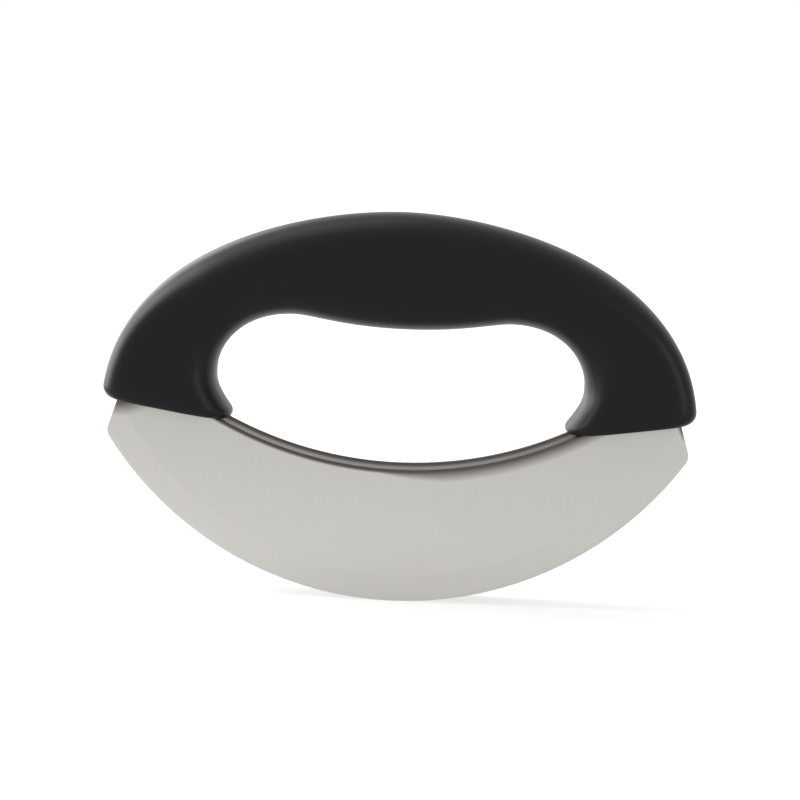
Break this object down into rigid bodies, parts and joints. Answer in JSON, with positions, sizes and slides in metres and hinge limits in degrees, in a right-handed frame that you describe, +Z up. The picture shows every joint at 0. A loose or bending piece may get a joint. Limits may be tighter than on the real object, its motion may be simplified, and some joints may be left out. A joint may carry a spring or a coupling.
{
  "type": "double mezzaluna",
  "caption": "Hand chopper with twin parallel crescent blades under a black arched grip with an oval hand opening, rocked on a board to mince herbs.",
  "frame": {"origin": "on the board under the middle of the cutting edges, half way between the two blades", "axes": "+X along the blades to the right, +Y across the blades to the rear one, +Z up to the crown of the grip"},
  "size_m": [0.1812, 0.03, 0.1189],
  "materials": {
    "blade_steel": "satin ground stainless steel",
    "soft_grip": "fine matte moulded elastomer",
    "stiff_core": "moulded polypropylene",
    "fastener_steel": "plain stainless steel"
  },
  "bodies": {
    "root": {"front_blade": "blade_steel", "rear_blade": "blade_steel", "grip_cover": "soft_grip", "handle_core": "stiff_core", "left_outer_spacer": "fastener_steel", "left_inner_spacer": "fastener_steel", "right_inner_spacer": "fastener_steel", "right_outer_spacer": "fastener_steel", "left_outer_rivet": "fastener_steel", "left_inner_rivet": "fastener_steel", "right_inner_rivet": "fastener_steel", "right_outer_rivet": "fastener_steel"}
  },
  "joints": []
}
